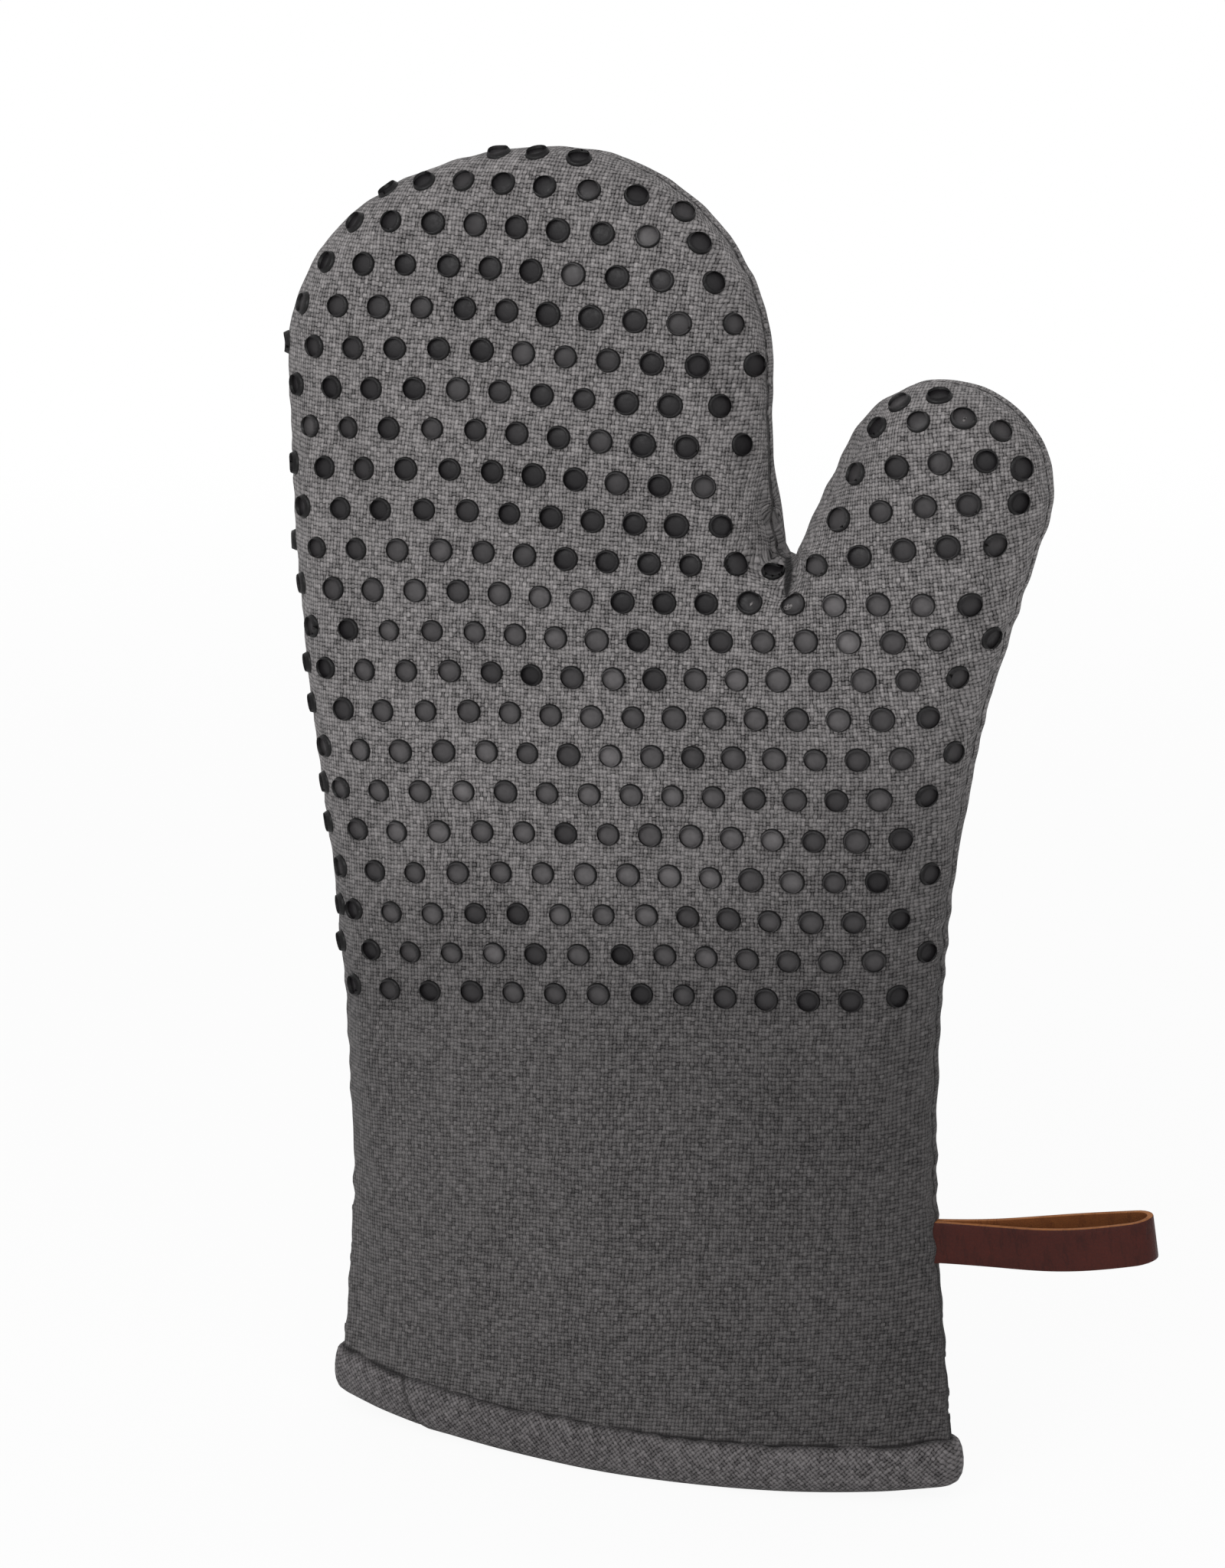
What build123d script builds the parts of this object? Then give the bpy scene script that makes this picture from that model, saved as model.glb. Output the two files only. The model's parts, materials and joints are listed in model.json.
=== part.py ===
from build123d import *

import os
from math import asin, atan2, cos, degrees, hypot, radians, sin, sqrt

os.makedirs("parts", exist_ok=True)

# A padded oven mitt with silicone grip dots on the palm, a bound hem and a leather
# hanging loop, standing on its cuff. Millimetres. +Z runs from the cuff to the
# fingertips, the palm faces -Y and the thumb lies towards +X. The origin is the
# middle of the cuff's opening, on the surface that the hem stands on.

# Layers of the wall, from the outside in, and the gap along a moving line
canvas = 1.0
wadding = 4.5
lining = 0.8
joint_gap = 0.3

# Outline over the canvas, seen from the palm side. Each width has the sideways
# shift of its middle from the middle of the hem.
mitt_length = 325.0
hem_width = 164.0
wrist_height = 85.0
wrist_width = 155.2
wrist_shift = -2.1
heel_height = 148.0
heel_width = 160.8
heel_shift = -3.1
palm_height = 190.0
palm_width = 171.6
palm_shift = -2.6
finger_width = 124.0
finger_shift = -30.5
finger_root_height = 248.0
finger_root_flare = 0.6
fingertip_rise = 50.0
fingertip_shift = 8.0

# The crotch, and the thumb's round end
crotch_out = 36.3
crotch_height = 228.0
crotch_lean = 0.45
crotch_round = 3.0
thumb_out = 73.7
thumb_height = 248.5
thumb_round = 25.4
thumb_side_angle = 17.0

# Depth over the canvas at each fifth of the length, and the roll into the seam
hem_depth = 28.4
cuff_depth = 33.0
heel_depth = 38.0
palm_depth = 40.0
finger_depth = 37.0
tip_depth = 28.0
crown_drop = 3.0
crown_reach = 120.0
edge_roll = 12.0

# The line that the thumb folds on slopes from the crotch down to the palm's outer edge
fold_tilt = 24.0

# Bias binding of the hem, with its slanted join and its line of stitches
binding_cloth = 2.0
binding_height = 12.5
join_out = -62.0
join_slant = 27.0
join_width = 0.5
join_depth = 0.8
stitch_length = 2.4
stitch_pitch = 3.6
stitch_thread = 0.5
stitch_margin = 1.2

# Silicone grip dots, printed in staggered rows that follow the weave. Each row starts
# a share of the pitch further along than the row below, and the share grows a little
# where the cloth spreads out over the fingers. The pitch eases towards the thumb.
dot_round = 5.3
dot_height = 0.9
dot_sunk = 0.3
dot_edge = 0.3
dot_pitch = 10.7
dot_easing = 0.012
dot_shift = 0.42
dot_stagger = 0.56
finger_stagger = 0.04
spread_row = 8
thumb_dot_shift = 2.3
thumb_dot_stagger = 4.0
row_pitch = 9.75
row_count = 22
first_row_height = 122.5
low_row_slope = 0.090
high_row_slope = -0.045
thumb_row_lift = 6.6
thumb_row_slope = 0.13
thumb_row_arch = 0.0035
first_thumb_row = 10
dot_seam_margin = 3.4
dot_last_turn = 75.0

# Leather hanging loop, folded once and sewn into the side seam
loop_height = 66.0
loop_slope = 9.0
loop_length = 53.0
loop_bow = 4.0
loop_neck = 22.0
loop_root_depth = 11.0
loop_stand_off = 2.2
strap_width = 10.4
strap_leather = 1.5

# Room for construction solids outside the mitt
spare = 20.0

# Sizes that follow from these
cavity_inset = canvas + wadding + lining
shoulder_height = mitt_length - fingertip_rise
finger_left = finger_shift - finger_width / 2
finger_right = finger_shift + finger_width / 2
fingertip_out = finger_shift + fingertip_shift
crotch_half_angle = atan2(crotch_lean, 1)
crotch_bottom = crotch_height + crotch_round / sin(crotch_half_angle) - crotch_round
hem_reach = 1.4 * binding_height


# ---- shapes that the pieces share ----


def outline_sketch(inset):
    """The mitt's outline on the seam plane, drawn in from the canvas by inset."""
    left = finger_left + inset
    right = finger_right - inset
    tip_centre = (fingertip_out, shoulder_height)
    tip_rise = fingertip_rise - inset
    crotch = (crotch_out, crotch_height - inset / sin(crotch_half_angle))
    thumb_end_round = thumb_round - inset
    across = thumb_out - crotch[0]
    up = thumb_height - crotch[1]
    thumb_far = hypot(across, up)
    thumb_line_length = sqrt(thumb_far**2 - thumb_end_round**2)
    thumb_line_angle = degrees(atan2(up, across) + asin(thumb_end_round / thumb_far))
    side_angle = radians(thumb_side_angle)
    with BuildSketch() as outline:
        with BuildLine():
            left_side = Spline(
                (-hem_width / 2 + inset, -spare),
                (wrist_shift - wrist_width / 2 + inset, wrist_height),
                (heel_shift - heel_width / 2 + inset, heel_height),
                (palm_shift - palm_width / 2 + inset, palm_height),
                (left, shoulder_height),
                tangents=[(0, 1), (0, 1)],
            )
            EllipticalCenterArc(tip_centre, fingertip_out - left, tip_rise, start_angle=90, arc_size=90)
            EllipticalCenterArc(tip_centre, right - fingertip_out, tip_rise, start_angle=0, arc_size=90)
            Spline(
                (right, shoulder_height),
                (right + finger_root_flare, finger_root_height),
                crotch,
                tangents=[(0, -1), (crotch_lean, -1)],
            )
            PolarLine(crotch, thumb_line_length, thumb_line_angle)
            thumb_end = CenterArc(
                (thumb_out, thumb_height),
                thumb_end_round,
                -thumb_side_angle,
                90 + thumb_line_angle + thumb_side_angle,
            )
            right_side = Spline(
                thumb_end @ 0,
                (palm_shift + palm_width / 2 - inset, palm_height),
                (heel_shift + heel_width / 2 - inset, heel_height),
                (wrist_shift + wrist_width / 2 - inset, wrist_height),
                (hem_width / 2 - inset, -spare),
                tangents=[(-sin(side_angle), -cos(side_angle)), (0, -1)],
            )
            Line(right_side @ 1, left_side @ 0)
        make_face()
        fillet(outline.vertices().sort_by_distance(crotch)[0], crotch_round + inset)
    return outline.sketch


def crown_volume(inset):
    """A body that bounds the depth: gently crowned front and back, along the length."""
    fifth = mitt_length / 5
    depths = [hem_depth, hem_depth, cuff_depth, heel_depth, palm_depth, finger_depth, tip_depth]
    depths.append(tip_depth - crown_drop)
    sections = []
    for step, depth in enumerate(depths, start=-1):
        crest = depth / 2 - inset
        edge = crest - crown_drop
        with BuildSketch(Plane.XY.offset(step * fifth)) as section:
            with BuildLine():
                front = ThreePointArc((-crown_reach, -edge), (heel_shift, -crest), (crown_reach, -edge))
                back = ThreePointArc((crown_reach, edge), (heel_shift, crest), (-crown_reach, edge))
                Line(front @ 1, back @ 0)
                Line(back @ 1, front @ 0)
            make_face()
        sections.append(section.sketch)
    with BuildPart() as crown:
        loft(sections)
    return crown.part


def half_volume(inset, face):
    """Everything inside the given inset on one side of the seam: 1 palm, -1 back."""
    with BuildPart() as half:
        with BuildSketch(Plane.XZ):
            add(outline_sketch(inset))
        extrude(amount=face * (palm_depth + spare))
        add(crown_volume(inset), mode=Mode.INTERSECT)
        crest = half.faces().sort_by(Axis.Y)[0 if face == 1 else -1]
        fillet(crest.outer_wire().edges().sort_by(Axis.Z)[1:], edge_roll - inset)
    return half.part


def hem_volume(inset, face):
    """The same as half_volume for the hem alone, which may also lie outside the canvas."""
    with BuildPart() as half:
        with BuildSketch(Plane.XZ):
            add(outline_sketch(inset))
            Rectangle(2 * hem_width, 2 * hem_reach, mode=Mode.INTERSECT)
        extrude(amount=face * (palm_depth + spare))
        add(crown_volume(inset), mode=Mode.INTERSECT)
        crest = half.faces().sort_by(Axis.Y)[0 if face == 1 else -1]
        fillet(crest.outer_wire().edges().sort_by(Axis.Z)[1:-1], edge_roll - max(inset, 0))
    return half.part


insets = {
    "canvas": 0,
    "wadding": canvas,
    "lining": canvas + wadding,
    "cavity": cavity_inset,
}
palm_half = {name: half_volume(inset, 1) for name, inset in insets.items()}
back_half = {name: half_volume(inset, -1) for name, inset in insets.items()}
for halves, face in ((palm_half, 1), (back_half, -1)):
    halves["binding"] = hem_volume(-binding_cloth, face)
    halves["binding_inside"] = hem_volume(cavity_inset + binding_cloth, face)


def level_slab(low, high):
    """A slab between two heights, wider than the mitt."""
    with BuildPart() as slab:
        with BuildSketch(Plane.XY.offset(low)):
            Rectangle(4 * crown_reach, 4 * crown_reach)
        extrude(amount=high - low)
    return slab.part


above_binding_floor = level_slab(binding_cloth, mitt_length + spare)
binding_band = level_slab(0, binding_height)

# The fold line's own frame: from the bottom of the crotch, X towards the outer edge
# of the palm and Z along the thumb
fold_frame = Plane(
    origin=(crotch_out, 0, crotch_bottom),
    x_dir=(cos(radians(fold_tilt)), 0, -sin(radians(fold_tilt))),
    z_dir=(sin(radians(fold_tilt)), 0, cos(radians(fold_tilt))),
)


def thumb_zone(gap):
    """The space beyond the fold line, which moves with the thumb."""
    with BuildPart() as zone:
        with BuildSketch(fold_frame.offset(gap)):
            Rectangle(mitt_length, mitt_length, align=(Align.MIN, Align.CENTER))
        extrude(amount=mitt_length)
    return zone.part


hand_stops = thumb_zone(0)
thumb_starts = thumb_zone(joint_gap)


def front_of(volume, out, height):
    """Where a line from the palm side meets a volume, and the outward direction."""
    hits = volume.find_intersection_points(Axis((out, -mitt_length, height), (0, 1, 0)))
    if not hits:
        return None
    point, normal = hits[0]
    if normal.Y > 0:
        normal = -normal
    return point, normal


def finish(piece, name):
    """Labels a piece and writes its file."""
    piece.part.label = name
    export_step(piece.part, f"parts/{name}.step")


# ---- hanging loop ----

seam_hits = palm_half["canvas"].find_intersection_points(
    Axis((0, -joint_gap, loop_height), (1, 0, 0))
)
seam_out = max(point.X for point, normal in seam_hits)
loop_frame = Plane(
    origin=(seam_out, 0, loop_height),
    x_dir=(cos(radians(loop_slope)), 0, sin(radians(loop_slope))),
    z_dir=(-sin(radians(loop_slope)), 0, cos(radians(loop_slope))),
)
knuckle = strap_leather
fold_centre = loop_length - loop_bow - strap_leather / 2

# Both ends of the strap lie on each other in the seam, with a rounded end outside it
with BuildPart() as loop_root:
    with BuildSketch(loop_frame):
        with Locations(((loop_stand_off - loop_root_depth) / 2, 0)):
            Rectangle(loop_stand_off + loop_root_depth, 2 * strap_leather)
        with Locations((loop_stand_off, 0)):
            Circle(knuckle)
    extrude(amount=strap_width / 2, both=True)
finish(loop_root, "loop_root")

# The free part opens into a long drop and turns back on itself at the far end
with BuildPart() as hanging_loop:
    with BuildSketch(loop_frame):
        with BuildLine():
            Bezier(
                (loop_stand_off, strap_leather / 2),
                (loop_neck, strap_leather / 2),
                (loop_neck, loop_bow),
                (fold_centre, loop_bow),
            )
            CenterArc((fold_centre, 0), loop_bow, 90, -180)
            Bezier(
                (fold_centre, -loop_bow),
                (loop_neck, -loop_bow),
                (loop_neck, -strap_leather / 2),
                (loop_stand_off, -strap_leather / 2),
            )
        trace(line_width=strap_leather)
        with Locations((loop_stand_off, 0)):
            Circle(knuckle + joint_gap, mode=Mode.SUBTRACT)
    extrude(amount=strap_width / 2, both=True)
finish(hanging_loop, "hanging_loop")


# ---- layers of the wall ----

layers = {
    "shell": ("canvas", "wadding"),
    "wadding": ("wadding", "lining"),
    "lining": ("lining", "cavity"),
}
for side, halves in (("palm", palm_half), ("back", back_half)):
    for layer, (outside, inside) in layers.items():
        with BuildPart() as wall:
            add(halves[outside])
            add(halves[inside], mode=Mode.SUBTRACT)
            add(above_binding_floor, mode=Mode.INTERSECT)
            add(loop_root.part, mode=Mode.SUBTRACT)

        with BuildPart() as hand_layer:
            add(wall.part)
            add(hand_stops, mode=Mode.SUBTRACT)
        finish(hand_layer, f"{side}_{layer}")

        with BuildPart() as thumb_layer:
            add(wall.part)
            add(thumb_starts, mode=Mode.INTERSECT)
        finish(thumb_layer, f"thumb_{side}_{layer}")


# ---- hem ----

with BuildPart() as wall_in_hem:
    add(palm_half["canvas"])
    add(back_half["canvas"])
    add(palm_half["cavity"], mode=Mode.SUBTRACT)
    add(back_half["cavity"], mode=Mode.SUBTRACT)
    add(above_binding_floor, mode=Mode.INTERSECT)

join_point, join_normal = front_of(palm_half["binding"], join_out, binding_height / 2)
join_frame = Plane(
    origin=join_point + join_normal,
    x_dir=(cos(radians(join_slant)), 0, sin(radians(join_slant))),
    z_dir=(0, 1, 0),
)

# The bias strip wraps the raw edge: outside, under and inside the wall, with a
# slanted groove where its two ends are joined
with BuildPart() as cuff_binding:
    add(palm_half["binding"])
    add(back_half["binding"])
    add(palm_half["binding_inside"], mode=Mode.SUBTRACT)
    add(back_half["binding_inside"], mode=Mode.SUBTRACT)
    add(binding_band, mode=Mode.INTERSECT)
    add(wall_in_hem.part, mode=Mode.SUBTRACT)
    with BuildSketch(join_frame):
        Rectangle(join_width, 4 * binding_height)
    extrude(amount=1 + join_depth, mode=Mode.SUBTRACT)
finish(cuff_binding, "cuff_binding")

with BuildPart() as stitch:
    Box(stitch_length, stitch_thread, stitch_thread)
    fillet(stitch.edges().filter_by(Axis.Z), stitch_thread / 3)

# The line of stitches near the binding's upper edge, on the palm side and the back
stitch_row_height = binding_height - stitch_margin
stitch_count = round((hem_width - 2 * edge_roll) / stitch_pitch)
with BuildPart() as binding_stitches:
    for face, halves in ((1, palm_half), (-1, back_half)):
        for number in range(stitch_count + 1):
            out = (number - stitch_count / 2) * stitch_pitch
            line = Axis((out, -face * mitt_length, stitch_row_height), (0, face, 0))
            point, normal = halves["binding"].find_intersection_points(line)[0]
            with Locations(Plane(origin=point, x_dir=(1, 0, 0), z_dir=(0, -face, 0))):
                add(stitch.part)
finish(binding_stitches, "binding_stitches")


# ---- side seam ----

# The thread that joins palm and back runs round the outline, inside the canvas's edge
with BuildSketch(Plane.XZ) as seam_line:
    add(outline_sketch(canvas / 2))
seam_edges = seam_line.sketch.edges().sort_by(Axis.Z)[1:]
hand_seam_places = []
thumb_seam_places = []
for edge in seam_edges:
    count = max(1, round(edge.length / stitch_pitch))
    for number in range(count):
        place = edge.location_at((number + 0.5) / count)
        spot = place.position
        along = fold_frame.to_local_coords(spot)
        clear_of_hem = spot.Z > binding_height + stitch_length
        clear_of_loop = abs(spot.Z - loop_height) > strap_width or spot.X < 0
        if clear_of_hem and clear_of_loop and abs(along.Z) > stitch_length:
            beyond_fold = along.Z > 0 and along.X > 0
            (thumb_seam_places if beyond_fold else hand_seam_places).append(place)
with BuildPart() as seam_stitch:
    Box(stitch_thread, stitch_thread, stitch_length)
with BuildPart() as side_seam_stitches:
    with Locations(*hand_seam_places):
        add(seam_stitch.part)
finish(side_seam_stitches, "side_seam_stitches")
with BuildPart() as thumb_seam_stitches:
    with Locations(*thumb_seam_places):
        add(seam_stitch.part)
finish(thumb_seam_stitches, "thumb_seam_stitches")


# ---- grip dots ----

with BuildPart() as dot:
    with BuildSketch(Plane.XY.offset(-dot_sunk)):
        Circle(dot_round / 2)
    extrude(amount=dot_sunk + dot_height)
    fillet(dot.edges().sort_by(Axis.Z)[-1], dot_edge)


def over_the_end(flat_height, end_height):
    """Where a height on the flat cloth comes to lie once the cloth rolls over an end.

    Gives None past the last dots, where the cloth has turned into the seam.
    """
    past = flat_height - (end_height - edge_roll)
    if past <= 0:
        return flat_height
    turned = past / edge_roll
    if turned > radians(dot_last_turn):
        return None
    return end_height - edge_roll * (1 - sin(turned))


def hand_dot_height(row, out):
    """Height of a row across the palm and fingers."""
    slope = low_row_slope + (high_row_slope - low_row_slope) * row / row_count
    flat = first_row_height + row * row_pitch + slope * (out - finger_shift)
    if out > finger_right:
        return flat
    reach = fingertip_out - finger_left if out < fingertip_out else finger_right - fingertip_out
    share = min(1, abs(out - fingertip_out) / reach)
    return over_the_end(flat, shoulder_height + fingertip_rise * sqrt(1 - share**2))


def thumb_dot_height(row, out):
    """Height of a row across the thumb, where the cloth is pulled up and arched."""
    off = out - thumb_out
    flat = first_row_height + row * row_pitch + thumb_row_lift
    flat += thumb_row_slope * off - thumb_row_arch * off**2
    return over_the_end(flat, thumb_height + sqrt(max(0, thumb_round**2 - off**2)))


def dots_along(row, row_height, start, stop_before, stop_after):
    """Places along a row, each one dot pitch from the last on the curved cloth."""
    places = []
    for way in (1, -1):
        out = start if way == 1 else start - (dot_pitch - dot_easing * start)
        while stop_before < out < stop_after and row_height(row, out) is not None:
            hit = front_of(palm_half["canvas"], out, row_height(row, out))
            if hit is None or abs(hit[0].Y) < dot_seam_margin:
                break
            places.append(Plane(origin=hit[0], z_dir=hit[1]))
            out += way * (dot_pitch - dot_easing * out) * sqrt(1 - hit[1].X ** 2)
    return places


for row in range(row_count):
    share = dot_shift + dot_stagger * row + finger_stagger * max(0, row - spread_row)
    hand_start = finger_shift + dot_pitch * (share % 1)
    thumb_shift = thumb_dot_shift + thumb_dot_stagger * (row - first_thumb_row)
    thumb_start = thumb_out + thumb_shift % dot_pitch
    if hand_dot_height(row, crotch_out) > crotch_height:
        places = dots_along(row, hand_dot_height, hand_start, -mitt_length, crotch_out)
        places += dots_along(row, thumb_dot_height, thumb_start, crotch_out, mitt_length)
    else:
        places = dots_along(row, hand_dot_height, hand_start, -mitt_length, mitt_length)
    on_hand = []
    on_thumb = []
    for place in places:
        spot = fold_frame.to_local_coords(place.origin)
        (on_thumb if spot.Z > 0 and spot.X > 0 else on_hand).append(place)

    # A dot that reaches over the fold line is trimmed to it
    if on_hand:
        with BuildPart() as dot_row:
            with Locations(*on_hand):
                add(dot.part)
            add(hand_stops, mode=Mode.SUBTRACT)
        finish(dot_row, f"dot_row_{row + 1:02d}")
    if on_thumb:
        with BuildPart() as thumb_dot_row:
            with Locations(*on_thumb):
                add(dot.part)
            add(thumb_starts, mode=Mode.INTERSECT)
        finish(thumb_dot_row, f"thumb_dot_row_{row + 1:02d}")
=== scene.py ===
import bpy
import bmesh
import json
import math
import numpy as np
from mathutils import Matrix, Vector
from mathutils.bvhtree import BVHTree
from mathutils.kdtree import KDTree


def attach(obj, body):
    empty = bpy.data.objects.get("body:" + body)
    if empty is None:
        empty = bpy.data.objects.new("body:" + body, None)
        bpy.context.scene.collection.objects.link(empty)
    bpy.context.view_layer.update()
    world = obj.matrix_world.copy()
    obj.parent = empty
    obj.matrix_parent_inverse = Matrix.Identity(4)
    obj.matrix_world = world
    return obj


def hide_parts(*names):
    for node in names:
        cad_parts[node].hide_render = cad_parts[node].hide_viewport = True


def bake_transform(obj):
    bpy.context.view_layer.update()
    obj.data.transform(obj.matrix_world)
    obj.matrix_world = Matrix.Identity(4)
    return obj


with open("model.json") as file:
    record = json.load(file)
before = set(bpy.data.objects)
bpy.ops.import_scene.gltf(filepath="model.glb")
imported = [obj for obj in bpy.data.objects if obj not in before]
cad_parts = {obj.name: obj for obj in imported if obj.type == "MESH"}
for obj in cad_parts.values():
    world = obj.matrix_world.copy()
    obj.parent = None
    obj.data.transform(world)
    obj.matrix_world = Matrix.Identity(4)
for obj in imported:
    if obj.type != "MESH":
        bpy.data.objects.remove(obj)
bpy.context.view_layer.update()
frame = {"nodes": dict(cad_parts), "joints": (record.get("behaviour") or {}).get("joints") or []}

nodes = frame["nodes"]
chance = np.random.default_rng(7)

# the thumb folds about this line: foldOut runs along it, foldUp points up the thumb
thumbFold = next(j for j in frame["joints"] if j["name"] == "thumb_fold")
foldOut = Vector(thumbFold["axis"])
foldUp = foldOut.cross(Vector((0, -1, 0)))
foldUp = foldUp if foldUp.z > 0 else -foldUp
foldAt = Vector((thumbFold["pos_m"][0], 0, thumbFold["pos_m"][2]))


def unpick():
    bpy.ops.object.select_all(action="DESELECT")


def only(*objs):
    # these selected and nothing else, the first of them active
    unpick()
    for obj in objs:
        obj.select_set(True)
    bpy.context.view_layer.objects.active = objs[0]
    return objs[0]


def applyModifiers(obj):
    only(obj)
    for mod in list(obj.modifiers):
        bpy.ops.object.modifier_apply(modifier=mod.name)


def openMesh(choice="SELECT"):
    bpy.ops.object.mode_set(mode="EDIT")
    if choice:
        bpy.ops.mesh.select_all(action=choice)


def closeMesh():
    bpy.ops.object.mode_set(mode="OBJECT")


def vectorsOf(items, key):
    got = np.empty(len(items) * 3)
    items.foreach_get(key, got)
    return got.reshape(-1, 3)


def pointsOf(obj):
    return vectorsOf(obj.data.vertices, "co")


def placePoints(obj, co):
    obj.data.vertices.foreach_set("co", np.ascontiguousarray(co).ravel())
    obj.data.update()


def normalsOf(obj):
    return vectorsOf(obj.data.vertex_normals, "vector")


def storeUv(obj, name, perPoint):
    layer = obj.data.uv_layers.new(name=name)
    corner = np.empty(len(obj.data.loops), dtype=np.int32)
    obj.data.loops.foreach_get("vertex_index", corner)
    layer.data.foreach_set("uv", np.ascontiguousarray(perPoint[corner]).ravel())


def storeNumber(obj, name, values):
    attr = obj.data.attributes.new(name, "FLOAT", "POINT")
    attr.data.foreach_set("value", np.ascontiguousarray(values, dtype=np.float32))


def readNumber(obj, name):
    values = np.empty(len(obj.data.vertices), dtype=np.float32)
    obj.data.attributes[name].data.foreach_get("value", values)
    return values


def pointOut(obj):
    only(obj)
    openMesh()
    bpy.ops.mesh.normals_make_consistent(inside=False)
    closeMesh()


def copyOf(model):
    # a copy with a mesh of its own
    one = model.copy()
    one.data = model.data.copy()
    bpy.context.collection.objects.link(one)
    return one


def joinAs(name, parts):
    joined = only(*parts)
    if len(parts) > 1:
        bpy.ops.object.join()
    joined.name = name
    return joined


def copyOfNodes(name, wanted):
    # one merged mesh of some CAD nodes, which stay as they are
    twins = [copyOf(nodes[nodeName]) for nodeName in wanted]
    for twin in twins:
        twin.parent = None
        for key in list(twin.keys()):
            del twin[key]
    joined = joinAs(name, twins)
    joined.data.materials.clear()
    openMesh()
    bpy.ops.mesh.remove_doubles(threshold=1e-6)
    closeMesh()
    return joined


def treeOf(obj):
    return BVHTree.FromPolygons(
        [tuple(c) for c in pointsOf(obj)], [tuple(p.vertices) for p in obj.data.polygons]
    )


def easeIn(x, low, high):
    # 0 up to low, 1 from high on, eased between
    t = np.clip((x - low) / (high - low), 0, 1)
    return t * t * (3 - 2 * t)


def runAlong(points):
    # how far along a line each of its points is
    return np.concatenate([[0], np.cumsum(np.linalg.norm(np.diff(points, axis=0), axis=1))])


def softNoise(points, size, seed):
    # sine waves in seeded directions, roughly from -1 to 1
    pick = np.random.default_rng(seed)
    total = np.zeros(len(points))
    waves = 8
    for _ in range(waves):
        way = pick.normal(size=points.shape[1])
        way /= np.linalg.norm(way)
        long = size * pick.uniform(0.6, 1.6)
        total += np.sin(points @ way * 2 * np.pi / long + pick.uniform(0, 6.28))
    return total / (waves / 2)


def islandsOf(wanted):
    # the loose parts of some nodes, each as the points it has
    group = copyOfNodes("looseParts", wanted)
    co = pointsOf(group)
    ends = np.empty(len(group.data.edges) * 2, dtype=np.int32)
    group.data.edges.foreach_get("vertices", ends)
    ends = ends.reshape(-1, 2)
    label = np.arange(len(co))
    while True:
        before = label.copy()
        low = np.minimum(label[ends[:, 0]], label[ends[:, 1]])
        np.minimum.at(label, ends[:, 0], low)
        np.minimum.at(label, ends[:, 1], low)
        label = label[label]
        if (label == before).all():
            break
    bpy.data.objects.remove(group)
    return [co[label == one] for one in np.unique(label)]


camera = {
    "azimuth": 21.0,
    "elevation": 13.0,
    "distance": 0.80,
    "aim": (-0.00796, 0.0, 0.17236),
    "lens": 75.46,
}
turn = math.radians(camera["azimuth"])
lift = math.radians(camera["elevation"])
back = Vector((math.sin(turn) * math.cos(lift), -math.cos(turn) * math.cos(lift), math.sin(lift)))
bpy.ops.object.camera_add(location=Vector(camera["aim"]) + back * camera["distance"])
cameraObj = bpy.context.active_object
cameraObj.name = "cameraFront"
cameraObj.rotation_euler = (-back).to_track_quat("-Z", "Y").to_euler()
cameraObj.data.lens = camera["lens"]
cameraObj.data.sensor_width = 36
cameraObj.data.clip_start = 0.02
bpy.context.scene.camera = cameraObj


# padded body: shell, wadding and lining grown into one quilted wall.
# Held edges stay put in the cloth step, and moveKept is the share of its swelling that is used
quilt = {
    "voxel": 0.0030,
    "relaxTurns": 4,
    "pressure": 4.0,
    "frames": 20,
    "moveCap": 0.006,
    "moveKept": 0.30,
    "seamHeld": 0.005,
    "hemHeld": 0.016,
    "hemHalfWide": 0.0825,
    "hemRound": 1.75,
    "hemThinnest": 0.36,
    "hemDeeper": 1.22,
    "hemShapeLow": 0.020,
    "hemShapeHigh": 0.112,
    "hemBow": 0.0034,
    "hemSpread": 0.0022,
    "bowHigh": 0.060,
    "bindingHigh": 0.0120,
    "spreadLow": 0.010,
    "spreadHigh": 0.070,
    "lineDeep": 0.0016,
    "lineLow": 0.012,
    "palmPinch": 0.0047,
    "backPinch": 0.0030,
    "pinchDeep": 0.012,
    "pinchNear": 0.006,
    "pinchFar": 0.036,
    "pinchThin": 0.08,
    "pinchMiddle": 0.0044,
    "pinchLessUp": 0.55,
    "pinchLessOut": 0.4,
    "pinchOutFrom": 0.085,
    "pinchOutTo": 0.110,
    "crotchPinch": 0.3,
    "crotchNear": 0.008,
    "crotchFar": 0.024,
    "seamDepth": 0.0007,
    "seamWidth": 0.0018,
    "seamLow": 0.010,
    "seamHigh": 0.030,
    "seamFades": 0.015,
    "seamFull": 0.045,
    "crotchDrawn": 0.0046,
    "crotchWide": 0.011,
    "crotchAside": 0.0008,
    "puckerDepth": 0.00045,
    "puckerReach": 0.0075,
    "puckerStep": 0.0075,
    "slackDepth": 0.0007,
    "slackStep": 0.045,
}
wallNodes = [n for n in nodes if n.endswith(("_shell", "_wadding", "_lining"))]
shellCopy = copyOfNodes("shellCopy", [n for n in wallNodes if n.endswith("_shell")])
liningCopy = copyOfNodes("liningCopy", [n for n in wallNodes if n.endswith("_lining")])
shellTree = treeOf(shellCopy)
liningTree = treeOf(liningCopy)
bpy.data.objects.remove(shellCopy)
bpy.data.objects.remove(liningCopy)

wall = copyOfNodes("quiltWall", wallNodes)
wall.data.remesh_voxel_size = quilt["voxel"]
only(wall)
bpy.ops.object.voxel_remesh()
relax = wall.modifiers.new("relax", "SMOOTH")
relax.factor = 0.5
relax.iterations = quilt["relaxTurns"]
applyModifiers(wall)


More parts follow.
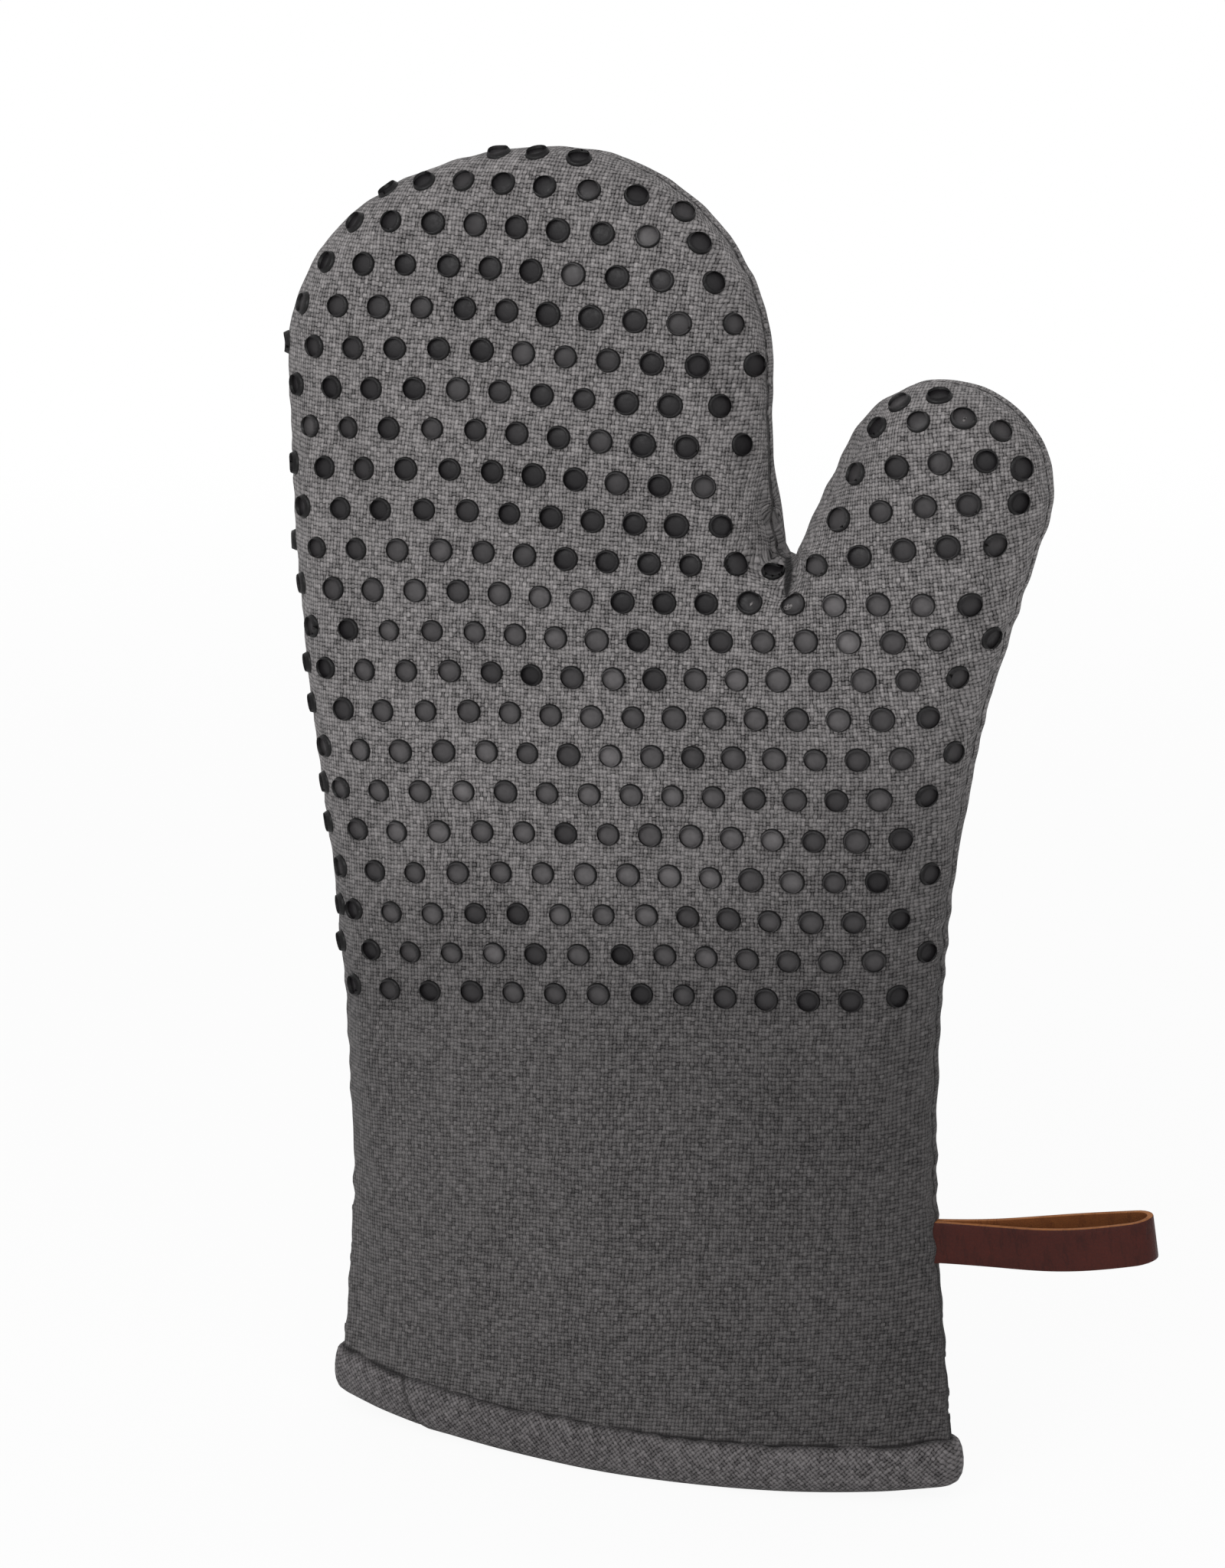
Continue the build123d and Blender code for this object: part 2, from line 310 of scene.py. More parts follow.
def hemShaped(co):
    # towards the hem the two panels close up to a pointed oval, and the edge lifts at its ends
    near = 1 - easeIn(co[:, 2], quilt["hemShapeLow"], quilt["hemShapeHigh"])
    share = np.clip(np.abs(co[:, 0]) / quilt["hemHalfWide"], 0, 1)
    oval = np.maximum(quilt["hemThinnest"], (1 - share ** quilt["hemRound"]) ** (1 / quilt["hemRound"]))
    out = co.copy()
    out[:, 1] *= 1 + near * (oval * quilt["hemDeeper"] - 1)
    out[:, 2] += quilt["hemBow"] * share ** 2 * (1 - easeIn(co[:, 2], 0.0, quilt["bowHigh"]))
    leftward = easeIn(-co[:, 0], 0.0, 0.08)
    out[:, 0] -= quilt["hemSpread"] * leftward * (1 - easeIn(co[:, 2], quilt["spreadLow"], quilt["spreadHigh"]))
    return out


def pinched(co, rim, rimOut):
    # the panels slope up from their seam as a cushion's do, more on the palm than on the back.
    # It goes in batches, since every point is measured to every point of the rim
    out = co.copy()
    batch = 2000
    for start in range(0, len(co), batch):
        stop = start + batch
        part = co[start:stop]
        gap = np.linalg.norm(part[:, None, [0, 2]] - rim[None], axis=2)
        close = gap.argmin(1)
        edge = gap.min(1)
        depth = np.abs(part[:, 1])
        most = np.where(part[:, 1] < 0, quilt["palmPinch"], quilt["backPinch"])
        # less along edges that face up, at the thumb's outer side and by the crotch
        most = most * (1 - quilt["pinchLessUp"] * np.maximum(0, rimOut[close][:, 1]))
        most = most * (1 - quilt["pinchLessOut"] * easeIn(part[:, 0], quilt["pinchOutFrom"], quilt["pinchOutTo"]))
        fromCrotch = np.hypot(part[:, 0] - foldAt.x, part[:, 2] - foldAt.z)
        least = quilt["crotchPinch"]
        most = most * (least + (1 - least) * easeIn(fromCrotch, quilt["crotchNear"], quilt["crotchFar"]))
        pull = most * easeIn(depth, 0, quilt["pinchDeep"]) * (1 - easeIn(edge, quilt["pinchNear"], quilt["pinchFar"]))
        thinned = quilt["pinchThin"] * (1 - easeIn(edge, 0, quilt["pinchFar"])) * most / quilt["pinchMiddle"]
        out[start:stop, [0, 2]] -= rimOut[close] * pull[:, None]
        out[start:stop, 1] *= 1 - thinned
        # the sewing between the fingers and the thumb is drawn down to a point
        drawn = np.exp(-(fromCrotch / quilt["crotchWide"]) ** 2)
        out[start:stop, 2] -= quilt["crotchDrawn"] * drawn
        out[start:stop, 0] -= quilt["crotchAside"] * drawn
    return out


# the rim is the seam's line around the outside, with the way out at each point of it, and no way out at the hem
co = pointsOf(wall)
no = normalsOf(wall)
inner = np.array([
    liningTree.find_nearest(Vector(c))[3] < shellTree.find_nearest(Vector(c))[3] for c in co
], dtype=float)
onLine = np.abs(co[:, 1]) < quilt["lineDeep"]
onRim = onLine & (inner < 0.5) & (np.abs(no[:, 2]) < 0.98 + co[:, 2])
rim = co[onRim][:, [0, 2]]
rimOut = no[onRim][:, [0, 2]]
rimOut /= np.linalg.norm(rimOut, axis=1, keepdims=True) + 1e-9
rimOut[rim[:, 1] < quilt["lineLow"]] = 0
startCo = hemShaped(pinched(co, rim, rimOut))
settled = startCo - co
flatCo = co.copy()
placePoints(wall, startCo)
print("wall remeshed:", len(startCo), "points")

held = wall.vertex_groups.new(name="held")
hold = np.maximum(
    1 - easeIn(np.abs(startCo[:, 1]), quilt["seamHeld"] * 0.3, quilt["seamHeld"]),
    1 - easeIn(startCo[:, 2], quilt["hemHeld"] * 0.7, quilt["hemHeld"]),
)
hold = np.round(hold, 1)
for level in np.unique(hold[hold > 0]):
    held.add(np.nonzero(hold == level)[0].tolist(), float(level), "REPLACE")
cloth = wall.modifiers.new("swell", "CLOTH")
cloth.settings.vertex_group_mass = "held"
cloth.settings.quality = 4
cloth.settings.use_pressure = True
cloth.settings.uniform_pressure_force = quilt["pressure"]
cloth.settings.effector_weights.gravity = 0
cloth.collision_settings.use_collision = False
cloth.point_cache.frame_end = quilt["frames"]
for step in range(1, quilt["frames"] + 1):
    bpy.context.scene.frame_set(step)
applyModifiers(wall)
bpy.context.scene.frame_set(1)
swell = pointsOf(wall) - startCo
size = np.linalg.norm(swell, axis=1, keepdims=True) + 1e-9
farthest, usual = float(size.max()) * 1000, float(size.mean()) * 1000
print("cloth moved up to", round(farthest, 1), "mm, mean", round(usual, 2))
swell *= quilt["moveCap"] * np.tanh(size / quilt["moveCap"]) / size
placePoints(wall, startCo + swell * quilt["moveKept"])
wall.vertex_groups.clear()

storeNumber(wall, "inner", inner)
finer = wall.modifiers.new("finer", "SUBSURF")
finer.levels = finer.render_levels = 1
applyModifiers(wall)
outer = 1 - readNumber(wall, "inner")

# the side seam draws in and puckers, except at the hem, and the panels are a little slack
co = pointsOf(wall)
no = normalsOf(wall)
byseam = 1 - easeIn(np.abs(co[:, 1]), 0, quilt["puckerReach"])
edgeOn = easeIn(-np.abs(no[:, 1]), -0.97, -0.6) * outer
aboveHem = easeIn(co[:, 2], quilt["seamLow"], quilt["seamHigh"])
groove = np.exp(-(co[:, 1] / quilt["seamWidth"]) ** 2)
outline = co[:, [0, 2]]
fromCrotch = np.hypot(co[:, 0] - foldAt.x, co[:, 2] - foldAt.z)
drawnIn = quilt["seamDepth"] * easeIn(fromCrotch, quilt["seamFades"], quilt["seamFull"])
move = -groove * drawnIn * edgeOn * aboveHem
move += softNoise(outline, quilt["puckerStep"], 3) * quilt["puckerDepth"] * byseam * edgeOn * aboveHem
move += softNoise(co, quilt["slackStep"], 5) * quilt["slackDepth"] * (1 - byseam) * aboveHem * outer

# below the crotch the cloth bunches: a leaning crease, and ripples that fan out from it
crotch = {
    "creaseDepth": 0.0018,
    "creaseWidth": 0.0026,
    "creaseLong": 0.0095,
    "creaseLean": 0.20,
    "creaseTurn": 0.38,
    "creaseLow": 0.0010,
    "creaseClear": 0.0042,
    "clearAbove": 0.006,
    "clearBelow": 0.013,
    "clearDeep": 0.012,
    "rippleDepth": 0.0005,
    "rippleReach": 0.020,
    "rippleRays": 6,
    "rippleCurl": 240,
}
right = co[:, 0] - foldAt.x - np.abs(co[:, 1]) * crotch["creaseTurn"]
below = foldAt.z - crotch["creaseLow"] - co[:, 2]
faceOn = easeIn(np.abs(co[:, 1]), 0.001, 0.007) * outer
crease = np.exp(-((right + crotch["creaseLean"] * below) / crotch["creaseWidth"]) ** 2)
crease *= easeIn(below, -0.004, 0.001) * (1 - easeIn(below, 0.004, crotch["creaseLong"]))
away = np.hypot(right, below)
around = np.arctan2(right, below)
ripple = np.sin(around * crotch["rippleRays"] + away * crotch["rippleCurl"])
ripple *= np.exp(-(away / crotch["rippleReach"]) ** 2)
move -= crease * crotch["creaseDepth"] * faceOn
move += ripple * crotch["rippleDepth"] * faceOn
placePoints(wall, co + no * move[:, None])
print("seams and crotch shaped:", len(co), "points")

# the weave lies square on the palm, skews at the cuff and turns with the thumb, and wraps over the edges
clothRun = {
    "edgeRound": 0.012,
    "thumbFrom": 0.040,
    "thumbLow": 0.190,
    "heights": [0.0, 0.060, 0.120, 0.170, 0.230, 0.260, 0.330],
    "slopes": [0.11, 0.095, 0.085, 0.045, -0.02, -0.065, -0.075],
    "leans": [0.08, 0.052, 0.040, 0.015, 0.050, 0.090, 0.090],
    "thumbSlope": 0.165,
    "thumbLean": -0.11,
    "middle": -0.030,
}


def clothUv(co, no):
    turned = np.arccos(np.clip(np.abs(no[:, 1]), 0, 1))
    extra = clothRun["edgeRound"] * (turned - np.sin(turned))
    flat = np.stack([no[:, 0], no[:, 2]], 1)
    flat /= np.linalg.norm(flat, axis=1, keepdims=True) + 1e-6
    x = co[:, 0] + flat[:, 0] * extra
    z = co[:, 2] + flat[:, 1] * extra
    slope = np.interp(z, clothRun["heights"], clothRun["slopes"])
    fine = np.linspace(-0.02, 0.35, 400)
    leanSum = np.cumsum(np.interp(fine, clothRun["heights"], clothRun["leans"])) * (fine[1] - fine[0])
    onThumb = easeIn(z, 0.150, 0.250)
    v = z - slope * (x - clothRun["middle"])
    v -= onThumb * (clothRun["thumbSlope"] - slope) * np.maximum(0, x - clothRun["thumbFrom"])
    u = x - np.interp(z, fine, leanSum)
    u -= easeIn(x, 0.030, 0.070) * (clothRun["thumbLean"] - 0.06) * np.maximum(0, z - clothRun["thumbLow"])
    onBack = co[:, 1] > 0
    return np.stack([np.where(onBack, 0.5 - x, u), np.where(onBack, z, v)], 1)


co = pointsOf(wall)
no = normalsOf(wall)
storeUv(wall, "cloth", clothUv(co, no))
farOff = 0.02
storeNumber(wall, "seamGap", np.where(outer > 0.5, np.abs(co[:, 1]), farOff))
hemShare = np.clip(np.abs(co[:, 0]) / quilt["hemHalfWide"], 0, 1)
aboveBinding = co[:, 2] - quilt["hemBow"] * hemShare ** 2 - quilt["bindingHigh"]
storeNumber(wall, "hemGap", np.where(outer > 0.5, aboveBinding, farOff))
keptNormal = wall.data.attributes.new("keptNormal", "FLOAT_VECTOR", "POINT")
keptNormal.data.foreach_set("vector", no.ravel())
skinTree = treeOf(wall)
flatTree = KDTree(len(flatCo))
for k, c in enumerate(flatCo):
    flatTree.insert(Vector(c), k)
flatTree.balance()

# split along the fold, so that the thumb is a piece of its own
only(wall)
cut = bmesh.new()
cut.from_mesh(wall.data)
close = [f for f in cut.faces if (f.calc_center_median() - foldAt).dot(foldOut) > -0.002]
close += list({e for f in close for e in f.edges}) + list({v for f in close for v in f.verts})
bmesh.ops.bisect_plane(cut, geom=close, plane_co=foldAt, plane_no=foldUp, dist=1e-6)
cut.to_mesh(wall.data)
cut.free()


def keepSide(name, thumbSide):
    part = copyOf(wall)
    part.name = name
    trim = bmesh.new()
    trim.from_mesh(part.data)
    drop = []
    for face in trim.faces:
        off = face.calc_center_median() - foldAt
        if (off.dot(foldOut) > 0 and off.dot(foldUp) > 0) != thumbSide:
            drop.append(face)
    bmesh.ops.delete(trim, geom=drop, context="FACES")
    trim.to_mesh(part.data)
    trim.free()
    kept = vectorsOf(part.data.attributes["keptNormal"].data, "vector")
    kept /= np.linalg.norm(kept, axis=1, keepdims=True) + 1e-9
    part.data.shade_smooth()
    part.data.normals_split_custom_set_from_vertices([tuple(n) for n in kept])
    part.data.attributes.remove(part.data.attributes["keptNormal"])
    return part


handSkin = keepSide("handSkin", False)
thumbSkin = keepSide("thumbSkin", True)
bpy.data.objects.remove(wall)
print("thumb split off:", len(handSkin.data.polygons), "and", len(thumbSkin.data.polygons), "faces")


# grip dots: one is modelled, the rest are copies pressed onto the cloth
gripDot = {
    "round": 0.00565,
    "height": 0.00036,
    "wider": 1.07,
    "sides": 18,
    "rim": 0.00020,
    "dish": 0.00005,
    "inset": 0.24,
    "sideHigh": 0.00015,
    "sunk": 0.0003,
    "flattened": 0.2,
    "frontFacing": -0.35,
    "thumbFacing": -0.66,
    "thumbTop": 0.261,
    "sizeSpread": 0.03,
    "tilt": 0.025,
}
unpick()
bpy.ops.mesh.primitive_cylinder_add(
    vertices=gripDot["sides"], radius=gripDot["round"] / 2, depth=gripDot["height"],
    end_fill_type="NGON", location=(0, 0, gripDot["height"] / 2),
)
dotModel = bpy.context.active_object
dotModel.name = "dotModel"
bpy.ops.object.transform_apply(location=True, rotation=True, scale=True)
openMesh("DESELECT")
closeMesh()
for face in dotModel.data.polygons:
    face.select = face.normal.z > 0.9
openMesh(None)
bpy.ops.mesh.bevel(offset=gripDot["rim"], segments=2, profile=0.5, affect="EDGES")
closeMesh()
for face in dotModel.data.polygons:
    face.select = face.normal.z > 0.9 and len(face.vertices) > 4
openMesh(None)
bpy.ops.mesh.inset(thickness=gripDot["round"] * gripDot["inset"])
bpy.ops.transform.translate(value=(0, 0, -gripDot["dish"]))
closeMesh()
dotModel.data.shade_smooth()
dotShape = pointsOf(dotModel)
storeUv(dotModel, "face", dotShape[:, :2] / gripDot["round"] + 0.5)


# how far the printed rows sit from an even pattern round a few places: x and z there, then mm across and up
printDrift = {
    "reach": 0.030,
    "places": np.array([
        (-0.075, 0.135, -2, -1.1), (-0.03, 0.13, -0.6, -0.2), (0.015, 0.13, 0.6, 0.2), (0.06, 0.13, 0.2, -1.6),
        (-0.075, 0.17, -0, 1), (-0.03, 0.17, 0.9, 2.4), (0.015, 0.17, 0.5, 2.2), (0.062, 0.17, -1.5, 0.3),
        (-0.08, 0.21, 0.2, 0.4), (-0.04, 0.21, 1.6, 2.2), (0, 0.21, -0.9, 0.2), (0.03, 0.205, -3, 2.1),
        (0.068, 0.205, -3.8, 3.8), (-0.08, 0.25, 0.3, -1), (-0.045, 0.25, 1.8, 1.8), (-0.01, 0.25, 1, -0),
        (0.022, 0.245, -1.8, -2.1), (-0.075, 0.29, 0.1, -2.5), (-0.045, 0.3, -0.5, -0.5),
        (-0.01, 0.295, -1.7, -1.3), (0.018, 0.28, -1.8, -2.3), (0.075, 0.235, -0.2, 1.1),
        (0.098, 0.245, 0.4, 0.5), (0.1, 0.27, 0.5, 0.2), (0.06, 0.235, -1.3, -0.1),
    ]),
}


def drifted(at):
    places = printDrift["places"]
    weight = np.exp(-((at[0] - places[:, 0]) ** 2 + (at[2] - places[:, 1]) ** 2) / printDrift["reach"] ** 2) + 1e-9
    across, up = (places[:, 2:] * weight[:, None]).sum(0) / weight.sum() / 1000
    return np.array((at[0] + across, at[1], at[2] + up))


# painted sheen: dots are painted grey over the palm and the thumb's root, where light glints off their tops, and stay
# black by the crotch, with some random spread: places are x and z
dotSheen = {
    "least": 0.08,
    "palm": 0.46,
    "palmHeight": 0.178,
    "palmTall": 0.048,
    "palmMiddle": -0.008,
    "palmEdge": (0.045, 0.085),
    "thumb": 0.6,
    "thumbAt": (0.062, 0.222),
    "thumbSize": (0.020, 0.024),
    "crotch": -0.6,
    "crotchAt": (0.020, 0.226),
    "crotchSize": (0.022, 0.018),
    "patches": 0.10,
    "patchSize": 0.030,
    "spread": 0.17,
}


def spotAt(x, z, at, size):
    return math.exp(-(((x - at[0]) / size[0]) ** 2 + ((z - at[1]) / size[1]) ** 2))


def sheenOf(at):
    x, _, z = at
    tall = math.exp(-((z - dotSheen["palmHeight"]) / dotSheen["palmTall"]) ** 4)
    sheenGrey = dotSheen["least"] + dotSheen["palm"] * tall * (1 - float(easeIn(abs(x - dotSheen["palmMiddle"]), *dotSheen["palmEdge"])))
    sheenGrey += dotSheen["thumb"] * spotAt(x, z, dotSheen["thumbAt"], dotSheen["thumbSize"])
    sheenGrey += dotSheen["crotch"] * spotAt(x, z, dotSheen["crotchAt"], dotSheen["crotchSize"])
    sheenGrey += dotSheen["patches"] * float(softNoise(np.array([at]), dotSheen["patchSize"], 21)[0])
    sheenGrey += dotSheen["spread"] * chance.normal()
    return min(1.0, max(0.0, sheenGrey))


def pressDots(name, wanted):
    made = []
    for span in islandsOf(wanted):
        middle = drifted((span.min(0) + span.max(0)) / 2)
        # clear of the crease below the crotch
        low = foldAt.z - crotch["creaseLow"] - middle[2]
        aside = middle[0] - foldAt.x - crotch["clearDeep"] * crotch["creaseTurn"] + low * crotch["creaseLean"]
        if -crotch["clearAbove"] < low < crotch["clearBelow"]:
            middle[0] += math.copysign(max(0, crotch["creaseClear"] - abs(aside)), aside)
        # straight onto the palm where it faces forward, and round its edge with the cloth elsewhere
        foot, facing = skinTree.ray_cast(Vector((middle[0], -0.1, middle[2])), Vector((0, 1, 0)))[:2]
        if foot is None or facing.y > gripDot["frontFacing"]:
            middle = middle + settled[flatTree.find(Vector(middle))[1]]
            foot, facing = skinTree.find_nearest(Vector(middle))[:2]
        # the thumb's rows stop short of the edge that turns in to the crotch
        turnedIn = facing.y > gripDot["thumbFacing"] and facing.x < 0
        if name == "thumbDots" and turnedIn and middle[2] < gripDot["thumbTop"]:
            continue
        across = facing.cross(Vector((0, 0, 1))).normalized()
        up = across.cross(facing)
        flatter = 1 - gripDot["flattened"] * (1 - float(easeIn(-facing.y, 0.2, 0.85)))
        grown = 1 + gripDot["sizeSpread"] * chance.normal()
        tip, roll = gripDot["tilt"] * chance.normal(size=2)
        pressed = []
        for a, b, high in dotShape:
            a, b = a * grown * gripDot["wider"], b * grown
            under = skinTree.find_nearest(foot + across * a + up * b)[0]
            lean = a * tip + b * roll if high > gripDot["sideHigh"] else -gripDot["sunk"]
            pressed.append(under + facing * (high * flatter + lean))
        dot = copyOf(dotModel)
        placePoints(dot, np.array([tuple(p) for p in pressed]))
        # each dot's share of the painted sheen
        storeNumber(dot, "tone", np.full(len(pressed), sheenOf(middle)))
        made.append(dot)
    return joinAs(name, made)


dotNodes = [n for n in nodes if n.startswith("dot_row")]
thumbDotNodes = [n for n in nodes if n.startswith("thumb_dot_row")]
handDots = pressDots("handDots", dotNodes)
thumbDots = pressDots("thumbDots", thumbDotNodes)
bpy.data.objects.remove(dotModel)
print("dots pressed on:", len(handDots.data.polygons) + len(thumbDots.data.polygons), "faces")


# hem binding: a bias strip rolled over the raw edge
binding = {
    "steps": 520,
    "height": 0.0120,
    "proud": 0.0021,
    "inside": 0.0070,
    "ringAt": 0.0145,
    "rays": 720,
    "evened": 5,
    "puff": 0.16,
    "puffStep": 0.035,
    "edgeWander": 0.00055,
    "edgeStep": 0.010,
    "joinAt": -0.0615,
    "joinLean": 0.55,
    "joinDepth": 0.0009,
    "joinWidth": 0.0007,
    "joinLap": 0.0005,
}
# out from the cloth and up from the edge, from the top of the outside round the bottom to the inside
high, proud, inside = binding["height"], binding["proud"], -binding["inside"]
section = np.array([
    (-0.0014, high * 0.985), (-0.0003, high * 1.0), (0.0006, high * 0.985), (proud * 0.74, high * 0.92),
    (proud, high * 0.78), (proud * 1.14, high * 0.60), (proud * 1.16, high * 0.42), (proud * 1.04, high * 0.25),
    (proud * 0.74, high * 0.12), (proud * 0.22, high * 0.035), (-0.0008, 0.0), (-0.0030, 0.0),
    (inside * 0.75, high * 0.03), (inside * 0.96, high * 0.14), (inside * 1.03, high * 0.40), (inside, high * 0.80),
    (inside * 0.92, high * 0.98), (inside * 0.78, high * 0.99),
])


def hemRing(height):
    # where the cloth is at one height, all the way round, in even steps
    found = []
    farWide, farDeep = 0.16, 0.05
    for turn in np.linspace(0, 2 * np.pi, binding["rays"], endpoint=False) - np.pi / 2:
        way = Vector((math.cos(turn) * farWide, math.sin(turn) * farDeep, 0))
        far = Vector((0, 0, height)) + way
        hit = skinTree.ray_cast(far, -way.normalized())[0]
        found.append((hit.x, hit.y))
    ring = np.array(found)
    for _ in range(binding["evened"]):
        ring = (np.roll(ring, 1, 0) + 2 * ring + np.roll(ring, -1, 0)) / 4
    closed = np.vstack([ring, ring[:1]])
    run = runAlong(closed)
    even = np.linspace(0, run[-1], binding["steps"], endpoint=False)
    return np.stack([np.interp(even, run, closed[:, k]) for k in (0, 1)], 1), run[-1]


# ring, ringWay and ringOut: the places around the hem, the way along it and the way out
ring, ringLong = hemRing(binding["ringAt"])
ringWay = np.roll(ring, -1, 0) - np.roll(ring, 1, 0)
ringWay /= np.linalg.norm(ringWay, axis=1, keepdims=True)
ringOut = np.stack([ringWay[:, 1], -ringWay[:, 0]], 1)
share = np.linspace(0, 2 * np.pi, binding["steps"], endpoint=False)
circle = np.stack([np.cos(share), np.sin(share)], 1) * ringLong / (2 * np.pi)
puffs = softNoise(circle, binding["puffStep"], 11)
wander = softNoise(circle, binding["edgeStep"], 12) + softNoise(circle, binding["edgeStep"] * 3, 13)
ringBow = quilt["hemBow"] * np.clip(np.abs(ring[:, 0]) / quilt["hemHalfWide"], 0, 1) ** 2

unpick()
bpy.ops.mesh.primitive_circle_add(vertices=binding["steps"], radius=ringLong / (2 * np.pi), fill_type="NOTHING")
cuffBinding = bpy.context.active_object
cuffBinding.name = "cuffBinding"
openMesh()
for was, now in zip(section[:-1], section[1:]):
    bpy.ops.mesh.extrude_region_move(TRANSFORM_OT_translate={"value": (0, 0, float(now[1] - was[1]) - 0.001)})
closeMesh()
# each extruded ring then takes its place in the section, with a groove and a lap at the slanted join
rolled = []
for out, up in section:
    outerSide = out > -0.0005
    deep = out * (1 + binding["puff"] * puffs * (out > 0.0004))
    lifted = up + ringBow + binding["edgeWander"] * wander * easeIn(np.array(up / high), 0.5, 1.0)
    line = ring[:, 0] - binding["joinAt"] + binding["joinLean"] * (up - high)
    front = (ring[:, 1] < 0) * outerSide
    deep = deep - binding["joinDepth"] * np.exp(-(line / binding["joinWidth"]) ** 2) * front
    deep = deep + binding["joinLap"] * easeIn(-line, -0.009, -0.0006) * (line > 0) * front * (out > 0.0004)
    rolled.append(np.column_stack([ring + ringOut * deep[:, None], lifted]))
placePoints(cuffBinding, np.vstack(rolled))
along = np.linspace(0, ringLong, binding["steps"], endpoint=False)
storeUv(cuffBinding, "cloth", np.vstack([
    np.column_stack([along, np.full(len(along), across)]) for across in runAlong(section)
]))
# the strip's last step joins its first, so its corners there run on past the end
strip = cuffBinding.data.uv_layers["cloth"].data
for face in cuffBinding.data.polygons:
    runs = [strip[k].uv[0] for k in face.loop_indices]
    if max(runs) - min(runs) > ringLong / 2:
        for k in face.loop_indices:
            if strip[k].uv[0] < ringLong / 2:
                strip[k].uv[0] += ringLong
lineAll = np.concatenate([ring[:, 0] - binding["joinAt"] + binding["joinLean"] * (up - high) for out, up in section])
frontAll = np.concatenate([(ring[:, 1] < 0) & (out > -0.0005) for out, up in section])
storeNumber(cuffBinding, "join", np.where(frontAll, np.abs(lineAll), farOff))
fromTop = [np.full(len(ring), high - up if out > -0.001 else 0.006) for out, up in section]
storeNumber(cuffBinding, "down", np.concatenate(fromTop))
pointOut(cuffBinding)
cuffBinding.data.shade_smooth()
print("binding rolled:", len(cuffBinding.data.polygons), "faces")


# hanging loop: one leather strap folded on itself, its ends sewn into the side seam
strap = {
    "thick": 0.0015,
    "wide": 0.0104,
    "reach": 0.053,
    "bow": 0.0040,
    "neck": 0.022,
    "sewnIn": 0.009,
    "standOff": 0.0022,
    "sag": 0.0017,
    "backSag": 0.3,
    "curl": 0.00025,
    "curlRate": 130,
    "steps": 110,
    "edgeRound": 0.00025,
}
loopSwing = next(j for j in frame["joints"] if j["name"] == "loop_swing")
loopUp = Vector(loopSwing["axis"])
loopOut = Vector((0, 1, 0)).cross(loopUp)
loopAt = Vector(loopSwing["pos_m"])


def strapPath():
    # the strap's middle seen from above: out, round the fold and back
    half = strap["thick"] / 2
    foldAtX = strap["reach"] - strap["bow"] - half
    start, bow, neck = strap["standOff"], strap["bow"], strap["neck"]
    side = [(start - strap["sewnIn"] * (1 - k / 8), -half) for k in range(8)]
    for t in np.linspace(0, 1, 40):
        a, b, c, d = (1 - t) ** 3, 3 * t * (1 - t) ** 2, 3 * t * t * (1 - t), t ** 3
        side.append((a * start + (b + c) * neck + d * foldAtX, -((a + b) * half + (c + d) * bow)))
    fold = [(foldAtX + bow * math.sin(s), -bow * math.cos(s)) for s in np.linspace(0, np.pi, 18)[1:-1]]
    path = np.array(side + fold + [(x, -y) for x, y in side[::-1]])
    run = runAlong(path)
    even = np.linspace(0, run[-1], strap["steps"] + 1)
    return np.stack([np.interp(even, run, path[:, k]) for k in (0, 1)], 1), run[-1]


path, strapLong = strapPath()
unpick()
bpy.ops.mesh.primitive_grid_add(x_subdivisions=strap["steps"], y_subdivisions=6, size=1)
hangLoop = bpy.context.active_object
hangLoop.name = "hangLoop"
openMesh()
bpy.ops.transform.resize(value=(strapLong, strap["wide"], 1))
closeMesh()
flat = pointsOf(hangLoop)
placed = []
for x, y, _ in flat:
    at = (x / strapLong + 0.5) * strap["steps"]
    k = min(int(at), strap["steps"] - 1)
    out, deep = path[k] + (path[k + 1] - path[k]) * (at - k)
    share = min(1, max(0, out / strap["reach"]))
    front = deep < 0
    droop = strap["sag"] * math.sin(math.pi * share) * (1 if front else strap["backSag"])
    curl = strap["curl"] * math.sin(out * strap["curlRate"]) * (1 if front else -1)
    placed.append(loopAt + loopOut * (out - strap["standOff"]) + Vector((0, deep + curl, 0)) + loopUp * (y - droop))
placePoints(hangLoop, np.array([tuple(p) for p in placed]))
storeUv(hangLoop, "strap", flat[:, :2])
# slots for grain, flesh and rim, filled further on: Solidify needs them to be there
for _ in range(3):
    hangLoop.data.materials.append(None)
hide = hangLoop.modifiers.new("hide", "SOLIDIFY")
hide.thickness = strap["thick"]
hide.offset = 0
hide.material_offset = 1
hide.material_offset_rim = 2
edges = hangLoop.modifiers.new("edges", "BEVEL")
edges.width = strap["edgeRound"]
edges.segments = 2
edges.limit_method = "ANGLE"
applyModifiers(hangLoop)
hangLoop.data.shade_smooth()
print("loop folded:", len(hangLoop.data.polygons), "faces")


# stitches: one is modelled, and a copy is laid at each place along a seam
stitch = {"thick": 0.00042, "long": 0.0023, "dip": 0.084, "spread": 0.15, "aroundHem": 84, "proud": 0.0001}
unpick()
bpy.ops.mesh.primitive_uv_sphere_add(segments=6, ring_count=4, radius=0.5, rotation=(0, math.pi / 2, 0))
stitchModel = bpy.context.active_object
bpy.ops.object.transform_apply(location=True, rotation=True, scale=True)
openMesh()
bpy.ops.transform.resize(value=(stitch["long"], stitch["thick"], stitch["thick"]))
closeMesh()
stitchModel.data.shade_smooth()
stitchShape = pointsOf(stitchModel)


def layStitches(name, places):
    made = []
    for middle, way, out in places:
        side = out.cross(way).normalized()
        grown = 1 + stitch["spread"] * chance.normal()
        # its ends dip into the cloth
        laid = [
            middle + way * (a * grown) + side * b + out * (c - stitch["dip"] * a * a) for a, b, c in stitchShape
        ]
        one = copyOf(stitchModel)
        placePoints(one, np.array([tuple(p) for p in laid]))
        made.append(one)
    return joinAs(name, made)


